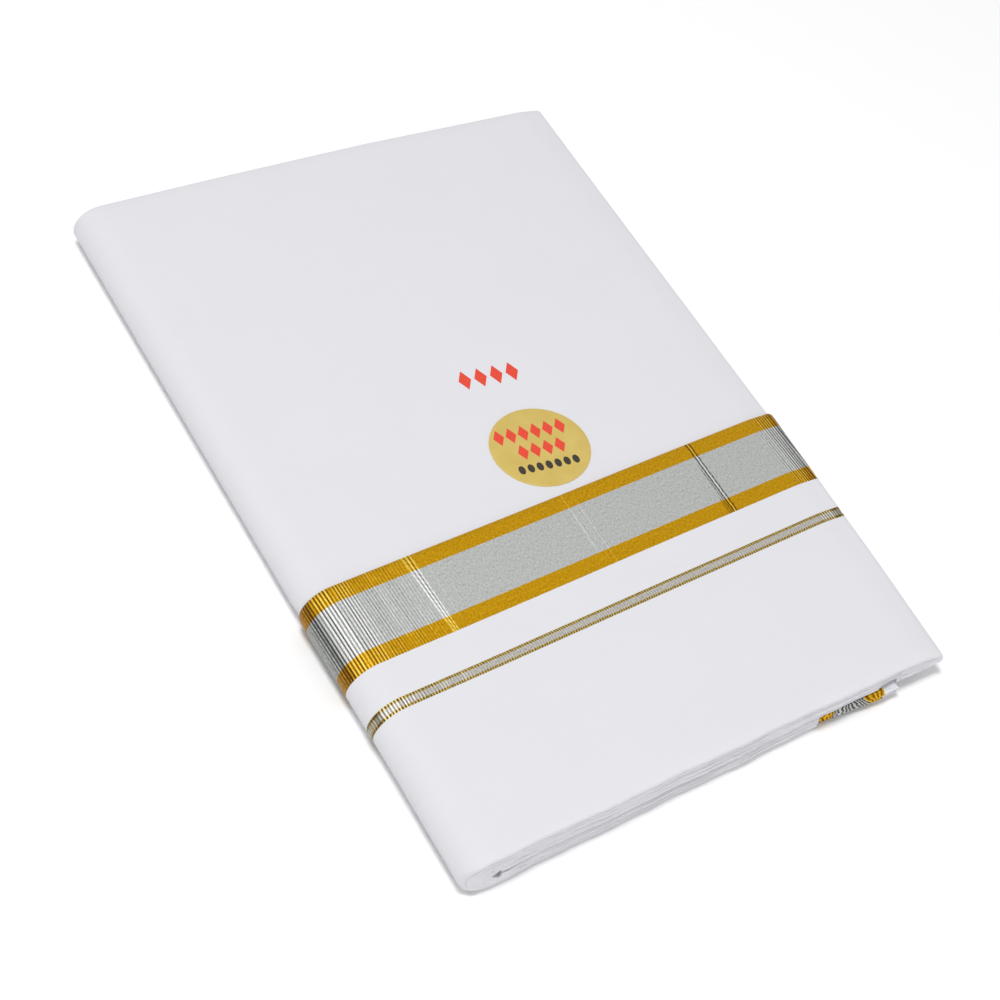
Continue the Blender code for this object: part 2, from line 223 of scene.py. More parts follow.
def wrap_line(y, spacing, top_xs=None):
    """Points (x, z) of the plain cloth's outer line at a distance from the front."""
    spine_x, open_x = read(SIDES, y, SPINE_SIDE) + SPINE_ROUND, open_side(y)
    bottom, crown = under_height(y), top_height(spine_x, y)
    middle = (bottom + crown) / 2
    under = np.linspace(LOWER_END_X, spine_x, steps_over(RUNS.under, spacing.under), endpoint=False)
    turn = np.radians(np.linspace(270, 90, steps_over(RUNS.spine, spacing.spine)))
    tuck = tuck_height(open_x, y)
    radius = (top_height(open_x - FOLD_READ, y) - tuck) / 2
    if top_xs is None:
        top_xs = np.linspace(0, 1, steps_over(RUNS.top, spacing.top))
    over = spine_x + (open_x - radius - FOLD_LEAD - spine_x) * top_xs[1:]
    fold = np.radians(np.linspace(FOLD_ANGLE, -90, steps_over(RUNS.fold, spacing.fold)))
    fold = columns(open_x - radius + radius * np.cos(fold), tuck + radius + radius * np.sin(fold))
    top = columns(over, top_height(over, y))
    share = np.linspace(0, 1, steps_over(BROW_RUN, spacing.fold))[1:-1, None]
    brow = top[-1] + (fold[0] - top[-1]) * share
    back = np.linspace(open_x - radius, TUCK_X, BACK_STEPS)[1:]
    return np.concatenate([
        columns(under, bottom),
        columns(spine_x + SPINE_ROUND * np.cos(turn), middle + (crown - middle) * np.sin(turn)),
        top, brow, fold,
        columns(back, tuck_height(back, y))])


def inward_normals(line):
    run = np.gradient(line, axis=0)
    run /= np.linalg.norm(run, axis=1)[:, None]
    return columns(run[:, 1], -run[:, 0])


def run_along(line):
    """Distance along a line at each of its points."""
    return np.concatenate([[0], np.cumsum(np.linalg.norm(np.diff(line, axis=0), axis=1))])


# %% [markdown]
# ## Soft relief
# Pressed cloth is never quite flat. The layers below lift it in long shallow waves, and where
# the stiff border was folded before, a sharp crease stays. Creases could come from a cloth
# simulation, but a pressed crease runs straight along a thread, so each is listed.

# %% Waves and creases
Ripple = namedtuple("Ripple", "first second start height")     # how fast it turns along two ways
WAVES = (
    Ripple(31.0, 9.0, 0.3, 0.00012),
    Ripple(-17.0, 24.0, 1.9, 0.00010),
    Ripple(52.0, -38.0, 4.1, 0.00005),
    Ripple(11.0, 71.0, 2.7, 0.00004),
)
WAVE_RUN = 0.03                # the waves fade out this close to a fold
PUCKERS = (Wobble(0.0131, 0.6, 0.7), Wobble(0.0072, 0.4, 2.9))
PUCKER_HEIGHT, PUCKER_RUN = 0.00009, 0.005     # at the front fold, and how soon they die out
Crease = namedtuple("Crease", "x lean half_width height start end")
CREASES = (                    # across the packet, along the weft
    Crease(0.0505, -0.072, 0.00042, 0.00009, 0.097, 0.141),
    Crease(0.0510, -0.062, 0.00028, -0.00007, 0.097, 0.141),
    Crease(0.0515, -0.052, 0.00044, 0.00011, 0.097, 0.141),
    Crease(0.0520, -0.042, 0.00028, -0.00007, 0.097, 0.141),
    Crease(0.0525, -0.032, 0.00038, 0.00008, 0.097, 0.141),
    Crease(0.0561, 0.003, 0.00026, 0.00002, 0.104, 0.136),
    Crease(0.0612, -0.004, 0.00030, 0.00002, 0.112, 0.141),
    Crease(0.1292, 0.006, 0.00034, 0.00003, 0.104, 0.141),
    Crease(0.1321, 0.0, 0.00026, 0.00002, 0.101, 0.133),
    Crease(0.1345, -0.004, 0.00034, 0.00003, 0.098, 0.137),
    Crease(0.1966, 0.0, 0.00026, -0.00005, 0.097, 0.108),
    Crease(0.1978, -0.015, 0.00028, -0.00006, 0.097, 0.125),
    Crease(0.1989, -0.01, 0.00034, -0.00010, 0.097, 0.141),
    Crease(0.1997, -0.01, 0.00026, 0.00007, 0.097, 0.141),
    Crease(0.2005, -0.01, 0.00034, -0.00009, 0.097, 0.141),
)
CREASE_WANDER = 0.00007        # a crease hops from thread to thread
CREASE_BREAKS = 0.45           # and fades in and out by this share of its height
HOP_RATE, BREAK_RATE = (1100.0, 7000.0), (2300.0, 9000.0)      # along each, and from one to the next
CREASE_IN, CREASE_OUT = (-0.004, 0.002), (-0.002, 0.003)       # where it fades, about its ends
SHARP_CREASE = 0.00006         # a crease this high gets the full painted highlight, and a sunk one the full painted shade


def rippled(ripples, first, second):
    return sum(r.height * np.sin(r.first * first + r.second * second + r.start) for r in ripples)


def waves(x, y):
    return rippled(WAVES, x, y) * smooth_step(np.minimum(y, LENGTH - y), 0.0, WAVE_RUN)


def edge_ripples(x, y):
    """Small puckers along the front fold."""
    return PUCKER_HEIGHT * wobble(PUCKERS, x) * np.exp(-y / PUCKER_RUN)


def creases(x, y):
    height = 0.0
    for crease in CREASES:
        hop = CREASE_WANDER * np.sin(HOP_RATE[0] * y + HOP_RATE[1] * crease.x)
        across = (x - crease.x - hop - crease.lean * (y - crease.start)) / crease.half_width
        along = smooth_step(y, crease.start + CREASE_IN[0], crease.start + CREASE_IN[1])
        along = along * (1 - smooth_step(y, crease.end + CREASE_OUT[0], crease.end + CREASE_OUT[1]))
        broken = 0.5 + 0.5 * np.sin(BREAK_RATE[0] * y + BREAK_RATE[1] * crease.x)
        height = height + crease.height * np.exp(-across * across) * along * (1 - CREASE_BREAKS * broken)
    return height


print("waves reach", round(1000 * sum(wave.height for wave in WAVES), 2), "mm, creases",
      round(1000 * max(abs(crease.height) for crease in CREASES), 2), "mm")

# %% [markdown]
# ## Flutes in the border
# Zari thread is stiffer than cotton. Where the border bends round the spine and round the open
# side, it buckles into narrow flutes along the weft, about a millimetre and a half apart, that die
# out on the flat. They catch the light one by one, so they are modelled, not only bumped. Their
# colour also has a painted highlight on each ridge and painted shade in each valley.

# %% Flutes
FLUTE_PITCH = 0.00142
FLUTINGS = (                   # how high the flutes stand, from spine to open side
    (-0.002, 0.00010), (0.003, 0.00014), (0.014, 0.00014), (0.019, 0.00010), (0.026, 0.00007),
    (0.040, 0.00005), (0.052, 0.00001), (0.060, 0.00000), (0.127, 0.00000), (0.130, 0.00002),
    (0.136, 0.00002), (0.140, 0.00000), (0.234, 0.00000), (0.237, 0.00010), (0.242, 0.00014),
    (0.245, 0.00007), (0.252, 0.00007),
)
FULL_FLUTE = 0.00010           # a flute this high has the full painted highlight on its ridge and painted shade in its valley
FLUTE_EVEN = 0.80              # no two flutes are quite as high, nor quite as far apart
FLUTE_UNEVEN = (Ripple(1313.0, 60.0, 0.0, 0.20), Ripple(640.0, -45.0, 0.0, 0.15))
FLUTE_DRIFTS = (Ripple(210.0, 35.0, 0.0, 0.45), Ripple(97.0, 80.0, 1.0, 0.30))
CHANCE_TURN, CHANCE_SPREAD = 12.9898, 437.58   # these scatter whole numbers over 0 to 1
FLUTE_ROUND = 1.6              # more is a narrower ridge
FLUTE_RISE, FLUTE_CHANCE = 1.45, 0.75          # its height, and how much more chance gives it


def flutes(x, along, y):
    """Height of the flutes, which are round on top with narrow valleys between them."""
    uneven = FLUTE_EVEN + rippled(FLUTE_UNEVEN, along, y)
    phase = along / FLUTE_PITCH + rippled(FLUTE_DRIFTS, along, y) / math.pi
    chance = np.modf(np.abs(np.sin(np.floor(phase) * CHANCE_TURN)) * CHANCE_SPREAD)[0]
    ridge = np.abs(np.sin(math.pi * phase)) ** FLUTE_ROUND
    return read(FLUTINGS, x) * uneven * ((FLUTE_RISE + FLUTE_CHANCE * chance) * ridge - 1)


# %% Columns of points over the border, closer where it is fluted or creased
Fineness = namedtuple("Fineness", "start spacing")
TOP_START, TOP_END, LEAST_SHARE = 0.014, 0.2405, 0.0004        # shares below the least are left out
FINENESS = (
    Fineness(0.000, 0.0003),
    Fineness(0.046, 0.0002),
    Fineness(0.058, 0.0009),
    Fineness(0.122, 0.0003),
    Fineness(0.142, 0.0009),
    Fineness(0.192, 0.0002),
    Fineness(0.206, 0.0009),
    Fineness(0.228, 0.00025),
    Fineness(TOP_END, 0.0),
)
FINE_XS = np.concatenate([np.arange(here.start, after.start, here.spacing)
                          for here, after in zip(FINENESS, FINENESS[1:])])
FINE_SHARES = (FINE_XS - TOP_START) / (TOP_END - TOP_START)
FINE_SHARES = np.concatenate([[0.0], FINE_SHARES[FINE_SHARES > LEAST_SHARE], [1.0]])
BORDER_SPACING = Spacing(0.0025, 0.00032, 0.0003, 0.00028)
print(len(FINE_SHARES), "columns over the top of the border")

# %% [markdown]
# ## From lines to shells
# A shell is two grids of points, one for each face of the cloth, joined round the rim into a
# closed skin. A solidify modifier would do nearly the same, but here the thickness can thin out
# towards a woven edge. Each point also remembers where it lies on the flat cloth, so that weave
# and stripes follow the cloth round every fold.

# %% Closed skins from grids of points
THREAD_PLACE = "thread_place"
SHARP_ANGLE = math.radians(50)


def put_in_scene(name, data):
    made = bpy.data.objects.new(name, data)
    bpy.context.scene.collection.objects.link(made)
    return made


def skin(name, points, faces, threads):
    mesh = bpy.data.meshes.new(name)
    mesh.from_pydata(points.reshape(-1, 3).tolist(), [], faces)
    mesh.update()
    places = mesh.attributes.new(THREAD_PLACE, "FLOAT_VECTOR", "POINT")
    places.data.foreach_set("vector", threads.reshape(-1, 3).astype(np.float32).ravel())
    mesh.shade_smooth()
    mesh.set_sharp_from_angle(angle=SHARP_ANGLE)
    return put_in_scene(name, mesh)


def quads(grid):
    return np.stack([grid[:-1, :-1], grid[1:, :-1], grid[1:, 1:], grid[:-1, 1:]], -1).reshape(-1, 4)


def shell(name, outer, inner, threads):
    """A closed skin between two grids of points [row, column]. threads are places on flat cloth."""
    rows, columns = outer.shape[:2]
    out = np.arange(rows * columns).reshape(rows, columns)
    back = out + rows * columns
    rim = [np.stack([out[0], back[0]]), np.stack([back[-1], out[-1]]),
           np.stack([back[:, 0], out[:, 0]]), np.stack([out[:, -1], back[:, -1]])]
    faces = np.concatenate([quads(out)[:, ::-1], quads(back)] + [quads(strip) for strip in rim])
    return skin(name, np.stack([outer, inner]), faces.tolist(), np.stack([threads, threads]))


print("shells turn sharp past", round(math.degrees(SHARP_ANGLE)), "degrees")

# %% A stretch of cloth along the wrap line
Row = namedtuple("Row", "outer_y outer_depth inner_y inner_depth along")
MM = 1000.0                    # millimetres in a metre
# The zari has painted shade on the spine's steep side and on the open side's fold, because the
# lamps alone leave it too bright there. The painted shade is kept in the mesh and ignores other lamps.
SPINE_PAINTED_SHADE = ((-0.40, 0.60), (0.10, 0.60), (0.35, 0.75), (0.60, 0.75), (0.85, 0.0))    # by facing up
OPEN_PAINTED_SHADE = ((0.0030, 0.55), (0.0060, 0.0))    # by the distance inside the open side
FLUTED = ((0.15, 0.0), (0.40, 0.30), (0.58, 0.55), (0.72, 1.0), (1.00, 1.0))   # by facing up
ON_TOP = (0.2, 0.9)            # waves and creases are on what faces up by this much
SET_BACK, SET_BACK_RUN = 0.0011, 0.004         # the front fold lies back where it touches the ground
SET_BACK_UNDER = (0.1, 0.9)    # which is on what faces down by this much


def stretch(name, rows, spacing=PLAIN_SPACING, top_xs=None, fluted=False):
    """One stretch of cloth. Depths are counted inwards from the plain cloth's outer face."""
    outer, inner, threads = [], [], []
    for row in rows:
        faces = ((outer, row.outer_y, row.outer_depth), (inner, row.inner_y, row.inner_depth))
        for side, y, depth in faces:
            line = wrap_line(y, spacing, top_xs)
            normals = inward_normals(line)
            along = run_along(line)
            climb = -normals[:, 1]
            on_top = smooth_step(climb, *ON_TOP)
            crease = creases(line[:, 0], row.along) * on_top
            lift = (waves(line[:, 0], y) + edge_ripples(line[:, 0], y)) * on_top
            flute = flutes(line[:, 0], along, row.along) * read(FLUTED, climb)
            if fluted:
                lift = lift + crease + flute
            moved = line + normals * (depth - lift)[:, None]
            back = smooth_step(normals[:, 1], *SET_BACK_UNDER) * np.clip(1 - y / SET_BACK_RUN, 0, 1)
            side.append(place(moved[:, 0], y + SET_BACK * back, np.maximum(moved[:, 1], 0.0)))
        # painted shade, darker on the spine's steep side and on the open side's fold
        painted_shade = read(SPINE_PAINTED_SHADE, climb) * (normals[:, 0] > 0)
        painted_shade = painted_shade + read(OPEN_PAINTED_SHADE, open_side(y) - line[:, 0]) * (climb > 0)
        # painted highlight on flute ridges and raised creases, painted shade in valleys, in sunk creases
        # and at the places above
        tone = crease / SHARP_CREASE + flute / FULL_FLUTE - painted_shade
        threads.append(columns(along, row.along, tone / MM))
    return shell(name, np.array(outer), np.array(inner), np.array(threads))


def flat_rows(start, end, depth, spacing):
    ys = np.linspace(start, end, steps_over(abs(end - start), spacing) + 1)
    return [Row(y, depth, y, depth + CLOTH, y) for y in ys]


# %% Rows round a pressed fold
NOSE_RADIUS = (CLOTH + CLOTH + GAP) / 2
NOSE_STEPS = 12
NOSE_SQUARENESS = (0.55, 0.12)  # of its outer and inner half: 1 is round, less is crisply pressed


def nose_rows(fold_y, depth, turn):
    """Rows round a fold. turn is -1 at the front and 1 at the far side."""
    rows, radii = [], (NOSE_RADIUS, NOSE_RADIUS - CLOTH)
    for angle in np.linspace(0, math.pi, NOSE_STEPS + 1)[1:]:
        out = max(0.0, math.sin(angle)) ** NOSE_SQUARENESS[angle > math.pi / 2]
        reach = [fold_y + turn * radius * out for radius in radii]
        depths = [depth + NOSE_RADIUS - radius * math.cos(angle) for radius in radii]
        rows.append(Row(reach[0], depths[0], reach[1], depths[1], fold_y + turn * NOSE_RADIUS * angle))
    return rows


print("a pressed fold is", round(2000 * NOSE_RADIUS, 1), "mm thick")

# %% [markdown]
# ## The plain cloth on top
# This is the sheet behind the flap. It runs round the spine and round the open side's fold, dives
# under the flap in front, and folds over at the far side, where its fold is a soft round nose.
# Near the front, the open side's fold droops a little where it overhangs.

# %% The plain cloth on top
RETURN = 0.0100                # how far the flap runs back below itself
NEAR_FOLD = 0.015              # rows are closer than elsewhere this near a fold
TOP_ROWS, TOP_FOLD_ROWS = 0.0032, 0.0015
far_fold = LENGTH - NOSE_RADIUS
rows = flat_rows(RETURN + GAP, far_fold - NEAR_FOLD, 0.0, TOP_ROWS)
rows += flat_rows(far_fold - NEAR_FOLD, far_fold, 0.0, TOP_FOLD_ROWS)[1:] + nose_rows(far_fold, 0.0, 1)
top_cloth = stretch("top_cloth_sheet", rows)
print("plain cloth has", len(top_cloth.data.polygons), "faces")

# %% [markdown]
# ## The flap
# The flap is the bordered edge of the sheet, turned up over the front. Its plain part folds at
# the front and runs back below itself. Then come a thin woven line, a plain gap and the wide
# border, whose last edge is the selvedge. They are one sheet on the real cloth. Here each woven
# stretch is a piece, edge to edge with the next, so that each keeps its own fine spacing.

# %% The flap's plain part
FLAP_PLAIN_END = 0.0756
FLAP_ROWS, FLAP_FOLD_ROWS = 0.0030, 0.0013
rows = flat_rows(FLAP_PLAIN_END, NEAR_FOLD, FLAP_DEPTH, FLAP_ROWS)
rows += flat_rows(NEAR_FOLD, NOSE_RADIUS, FLAP_DEPTH, FLAP_FOLD_ROWS)[1:]
rows += nose_rows(NOSE_RADIUS, FLAP_DEPTH, -1)
under = FLAP_DEPTH + 2 * NOSE_RADIUS
rows += [Row(y, under, y, under - CLOTH, -y) for y in (0.0040, 0.0070, RETURN)]
flap = stretch("flap_sheet", rows)
print("flap has", len(flap.data.polygons), "faces")

# %% The woven stretches of the flap
Woven = namedtuple("Woven", "name node start end spacing slot")
WOVEN = (
    Woven("thin_line_weave", "border_thin_line", FLAP_PLAIN_END, 0.0810, 0.00045, "gold"),
    Woven("gap_weave", "border_gap", 0.0810, 0.0984, 0.0031, "cotton"),
    Woven("inner_gold_weave", "border_inner_gold", 0.0984, 0.1061, 0.0004, "gold"),
    Woven("silver_weave", "border_silver", 0.1061, 0.1318, 0.0006, "silver"),
)
woven_pieces = {}
for woven in WOVEN:
    rows = flat_rows(woven.start, woven.end, FLAP_DEPTH, woven.spacing)
    if woven.slot != "cotton":
        made = stretch(woven.name, rows, BORDER_SPACING, FINE_SHARES, fluted=True)
    else:
        made = stretch(woven.name, rows)
    woven_pieces[woven.name] = made
    print(woven.name, "has", len(made.data.polygons), "faces")

# %% The outer gold stretch thins out to its selvedge
SELVEDGE = [(y, 0.0) for y in (0.1318, 0.1325, 0.1332, 0.1339, 0.1346, 0.1353, 0.1360, 0.1368)]
SELVEDGE += [(0.1378, 0.00003), (0.1390, 0.00015), (0.1396, 0.00035), (0.1400, 0.00062)]
rows = [Row(y, FLAP_DEPTH + sunk, y, FLAP_DEPTH + CLOTH, y) for y, sunk in SELVEDGE]
outer_gold = stretch("outer_gold_weave", rows, BORDER_SPACING, FINE_SHARES, fluted=True)
woven_pieces["outer_gold_weave"] = outer_gold
print("outer gold has", len(outer_gold.data.polygons), "faces")

# %% [markdown]
# ## The folded layers inside
# By that count, some two dozen layers lie inside the outer cloth. Only their folded edges show, as
# soft ridges at the front, at the far side and at the open side. So they are one block that bends
# round the spine like a book's back. Its edges are ridged: three folds to each half, each parted
# again by the finer line between its own plies, and none of them quite straight.

# %% The ridged edge of the layers
LAYER_RIDGES, PLIES = 3, 7
RIDGE_START = 0.34             # share of a ridge that is tucked away at the rim
RIDGE_STEPS = 12
RIDGE_DEPTH, PLY_DEPTH = 0.0007, 0.00016
RIDGE_ROUND, PLY_ROUND = 0.7, 0.6              # less is a narrower valley
SLIT_ROUND, SLIT_SHARE = 0.0006, 0.88          # the halves round back to the slit between them
FAR_EDGE_INSET = 0.0018        # the layers stop this short of the far fold
END_BULGE = 0.0026             # how far the bordered end rounds back at its free edge
SPINE_START, SPINE_END = 0.150, 0.196          # where the layers bend round the spine, along the edge
SPINE_QUIET, SPINE_FADE = 0.80, 0.01           # the ridges are this much shallower there
RIDGE_DRIFTS = (               # the ridges climb and fall along the edge, by shares of its height
    Ripple(57.0, 0.0, 1.0, 0.045),
    Ripple(131.0, 0.0, 2.6, 0.028),
    Ripple(342.0, 0.0, 0.3, 0.012),
)
WANDERS = (                    # and the edge itself isn't flat, along it and up it
    Ripple(38.0, 9.0, 0.4, 0.00016),
    Ripple(91.0, 17.0, 2.2, 0.00014),
    Ripple(-57.0, 5.0, 5.0, 0.00014),
    Ripple(203.0, 23.0, 1.1, 0.00009),
    Ripple(611.0, 31.0, 3.1, 0.00006),
)


def rim_round(share):
    """How far an edge has rounded back, from 0 at half its height to 1 at its rims."""
    return 1 - np.sqrt(np.clip(1 - (2 * share - 1) ** 2, 0, None))


def layer_inset(share, along):
    """How far back the layered edge lies, at a share of its height and a place along it."""
    inside = np.clip(4 * np.minimum(share, 1 - share), 0, 1)
    drift = rippled(RIDGE_DRIFTS, along, 0.0) * inside
    ridge = np.abs(np.sin(math.pi * (LAYER_RIDGES * (share + drift) + RIDGE_START))) ** RIDGE_ROUND
    ply = np.abs(np.cos(math.pi * PLIES * (share - drift))) ** PLY_ROUND
    wander = rippled(WANDERS, along, share)
    at_spine = smooth_step(along, SPINE_START, SPINE_START + SPINE_FADE)
    at_spine = at_spine * (1 - smooth_step(along, SPINE_END - SPINE_FADE, SPINE_END))
    relief = RIDGE_DEPTH * (1 - ridge) + PLY_DEPTH * (1 - ply)
    relief = relief + SLIT_ROUND * np.clip((share - SLIT_SHARE) / (1 - SLIT_SHARE), 0, 1) ** 2
    return (relief + wander * inside) * (1 - SPINE_QUIET * at_spine)


share_line = np.linspace(0, 1, LAYER_RIDGES * RIDGE_STEPS + 1)
print("layered edge steps back up to", round(1000 * float(layer_inset(share_line, 0.1).max()), 2), "mm")


# %% A closed block from a lattice of points
def block(name, lattice, threads):
    """The outer skin of a lattice of points [column, row, layer]."""
    shape = lattice.shape[:3]
    index = np.arange(np.prod(shape)).reshape(shape)
    faces = np.concatenate([
        quads(index[:, :, 0]), quads(index[:, :, -1])[:, ::-1],
        quads(index[0]), quads(index[-1])[:, ::-1],
        quads(index[:, 0])[:, ::-1], quads(index[:, -1])])
    used, packed = np.unique(faces, return_inverse=True)
    points, threads = lattice.reshape(-1, 3)[used], threads.reshape(-1, 3)[used]
    return skin(name, points, packed.reshape(-1, 4).tolist(), threads)


def share_points(line, count):
    """Points spaced evenly along a line."""
    along = run_along(line)
    wanted = np.linspace(0, along[-1], count)
    return columns(np.interp(wanted, along, line[:, 0]), np.interp(wanted, along, line[:, 1]))


def facing(number, count):
    """Which way is inwards at a row: 1 at the first, -1 at the last and 0 between."""
    return 1 if number == 0 else -1 if number == count - 1 else 0


print("blocks are skinned from", len(share_line), "points up each column")

# %% The block's columns, from the lower half round the spine to the open side
RIM_SEAM = 0.00004             # layers and cloth are nearly closed up at the rims, as pressed cloth is
RIM_RUN = (0.002, 0.010)       # and a full gap apart further in
CORE_SPACING = Spacing(0.0020, 0.0012, 0.0018, 0.0008)
Opening = namedtuple("Opening", "from_spine half_height")
HOLLOW = (                     # the small dark hollow where the innermost layer turns
    Opening(0.0154, 0.0006),
    Opening(0.0166, 0.0013),
    Opening(0.0178, 0.0023),
    Opening(0.0186, 0.0022),
    Opening(0.0190, SLIT / 2),
)
HOLLOW_ROUND, HOLLOW_LEAD = 0.0006, 0.0002     # its rounded end, set this far before the first row
UPPER_COLUMNS, TUCK_COLUMNS = 110, 16          # of points over the slit, and over the open fold
TUCK_LEAD, TUCK_LAG, OPEN_INSET = 0.004, 0.002, 0.0100         # where those columns end and begin
CORE_TIP = 0.0048              # the layers' rounded end takes up this much inside the open fold


def core_columns(y):
    """Pairs of points (x, z): a column's end next to the outer cloth and its end at the slit."""
    depth = CLOTH + RIM_SEAM + (GAP - RIM_SEAM) * smooth_step(min(y, LENGTH - y), *RIM_RUN)
    line = wrap_line(y, CORE_SPACING)
    moved = line + inward_normals(line) * depth
    under_count = steps_over(RUNS.under, CORE_SPACING.under)
    spine_count = steps_over(RUNS.spine, CORE_SPACING.spine)
    floor = moved[0, 1]
    pairs = [((x, floor), (x, slit_height(x) - SLIT / 2))
             for x in np.linspace(LOWER_END_X, HOLLOW[-1].from_spine, under_count, endpoint=False)]
    pairs += [((x, floor), (x, slit_height(x) - half)) for x, half in reversed(HOLLOW)]
    turn = np.radians(np.linspace(270, 90, spine_count))
    spine = moved[under_count:under_count + spine_count]
    hollow = columns(HOLLOW[0].from_spine - HOLLOW_LEAD + HOLLOW_ROUND * np.cos(turn),
                     slit_height(HOLLOW[0].from_spine) + HOLLOW_ROUND * np.sin(turn))
    pairs += [(tuple(a), tuple(b)) for a, b in zip(spine, hollow)]
    pairs += [((x, top_height(x, y) - depth), (x, slit_height(x) + half)) for x, half in HOLLOW]
    for x in np.linspace(HOLLOW[-1].from_spine, TUCK_X - TUCK_LEAD, UPPER_COLUMNS)[1:]:
        pairs.append(((x, top_height(x, y) - depth), (x, slit_height(x) + SLIT / 2)))
    for x in np.linspace(TUCK_X - TUCK_LAG, open_side(y) - OPEN_INSET, TUCK_COLUMNS):
        pairs.append(((x, top_height(x, y) - depth), (x, float(tuck_height(x, y)) + depth)))
    return pairs, moved


def core_tip(moved, y):
    """The layers' rounded end inside the open side's fold, from top to bottom."""
    inside = moved[moved[:, 0] > open_side(y) - CORE_TIP]
    return share_points(inside, len(share_line))


pairs, moved = core_columns(0.1)
print(len(pairs), "columns of layers")

# %% Build the folded layers
CORE_YS = (0.0, 0.002, 0.005, 0.010, 0.030, FRONT_BOW_RUN, SETTLE_START, SETTLE_END, 0.250,
           LENGTH - 0.007, LENGTH - 0.004, LENGTH - FAR_EDGE_INSET)
sections, section_threads = [], []
for number, y in enumerate(CORE_YS):
    inwards = facing(number, len(CORE_YS))
    pairs, moved = core_columns(y)
    outer_ends = np.array([pair[0] for pair in pairs])
    inner_ends = np.array([pair[1] for pair in pairs])
    along = run_along(outer_ends)
    section, threads = [], []
    for start, end, reach in zip(outer_ends, inner_ends, along):
        points = start + (end - start) * share_line[:, None]
        rim_y = y + inwards * layer_inset(share_line, reach)
        section.append(place(points[:, 0], rim_y, points[:, 1]))
        threads.append(columns(reach, rim_y, points[:, 1]))
    tip = core_tip(moved, y)
    section.append(place(tip[:, 0], y + inwards * layer_inset(0.0, 0.0), tip[:, 1]))
    threads.append(columns(along[-1] + CORE_TIP, y, tip[:, 1]))
    sections.append(section)
    section_threads.append(threads)
layers = block("layer_edges", np.array(sections).transpose(1, 0, 2, 3),
               np.array(section_threads).transpose(1, 0, 2, 3))
print("folded layers have", len(layers.data.polygons), "faces")

# %% [markdown]
# ## The cloth's bordered end
# The lower half stops short of the open side. A second gold and silver border shows there. It is
# read as bands woven across the cloth's end, though it could be the edge of an inner layer. Only
# the edges of its layers are seen, as a short coloured stretch under the open side, and then a
# little plain cloth. The stiff end curls up off the table at the front.

# %% The bordered end
EndStretch = namedtuple("EndStretch", "name node start end slot")
END_STRETCHES = (
    EndStretch("end_inner_gold_edges", "end_inner_gold", LOWER_END_X + GAP, 0.1885, "gold"),
    EndStretch("end_silver_edges", "end_silver", 0.1885, 0.2070, "silver"),
    EndStretch("end_outer_gold_edges", "end_outer_gold", 0.2070, 0.2148, "gold"),
    EndStretch("end_plain_edges", "cloth_end", 0.2148, 0.2230, "cotton"),
)
END_SPACING = 0.00035
END_YS = (0.0, 0.0006, 0.002, 0.006, 0.030, FRONT_BOW_RUN, SETTLE_END, 0.250,
          LENGTH - 0.006, LENGTH - 0.002, LENGTH - 0.0006, LENGTH)
CRUMPLE_PITCH, CRUMPLE_DEPTH, CRUMPLE_ROUND = 0.0019, 0.00030, 0.7
CRUMPLE_DRIFTS = (Ripple(800.0, 0.0, 0.0, 0.6), Ripple(300.0, 9.0, 0.0, 0.5))
CRUMPLE_SLANT = 1.1            # in radians: the crumples lean this much up the edge
END_LIFTS = ((0.1805, 0.0042), (0.1900, 0.0032), (0.2050, 0.0030), (0.2230, 0.0044))
END_LIFT_RUN = 0.028           # the bordered end curls up off the table over this much of its front
END_PAINTED_SHADE = {"gold": 0.45, "silver": 1.0, "cotton": 0.0}         # painted shade: each edge's colour is set this much darker
END_TURN, END_MIDDLE = 0.085, 0.1960           # and the stiff end lies turned a little, about here
END_LEANS = ((0.1885, 0.0004), (0.2070, -0.0026), (0.2148, 0.0))   # seams lean by this


def crumple(x, share):
    """The crumpled folds of the stiff border's edge, from -1 to 1."""
    drift = rippled(CRUMPLE_DRIFTS, x, share) + CRUMPLE_SLANT * share
    return 2 * np.abs(np.sin(math.pi * x / CRUMPLE_PITCH + drift)) ** CRUMPLE_ROUND - 1


def end_block(end):
    xs = np.linspace(end.start, end.end, steps_over(end.end - end.start, END_SPACING) + 1)
    stiff = end.slot != "cotton"
    lattice, threads = [], []
    for x in xs:
        height = slit_height(x) - SLIT / 2
        lift, lean = read(END_LIFTS, x), read(END_LEANS, x)
        column, column_threads = [], []
        for number, y in enumerate(END_YS):
            inwards = facing(number, len(END_YS))
            folds = crumple(x, share_line) * stiff
            turned = END_TURN * (END_MIDDLE - x)
            inset = layer_inset(share_line, LOWER_END_X - x) - CRUMPLE_DEPTH * folds + turned
            along = (x - end.start) / (end.end - end.start) * (end.slot == "cotton")
            drawn = END_BULGE * rim_round(share_line) * along
            raised = lift * (1 - smooth_step(y, 0.0, END_LIFT_RUN))
            leaning = lean * (2 * share_line - 1)
            column.append(place(x - drawn + leaning, y + inwards * inset,
                                raised + (height - raised) * share_line))
            # painted highlight on the crumples' ridges and painted shade in their hollows, less the
            # edge's painted shade
            tone = (folds - END_PAINTED_SHADE[end.slot]) / MM
            column_threads.append(columns(x, y, tone))
        lattice.append(column)
        threads.append(column_threads)
    return block(end.name, np.array(lattice), np.array(threads))


end_pieces = {end.name: end_block(end) for end in END_STRETCHES}
print("bordered end has", sum(len(p.data.polygons) for p in end_pieces.values()), "faces")

# %% [markdown]
# ## The foil label and the ink
# A round foil label is stuck on the top, just behind the border, and a mark is stamped in red ink
# above it. On the real packet both carry words. Here they carry plain rows of lozenges and dots in
# the same places and colours, because words would tie the part to one maker.

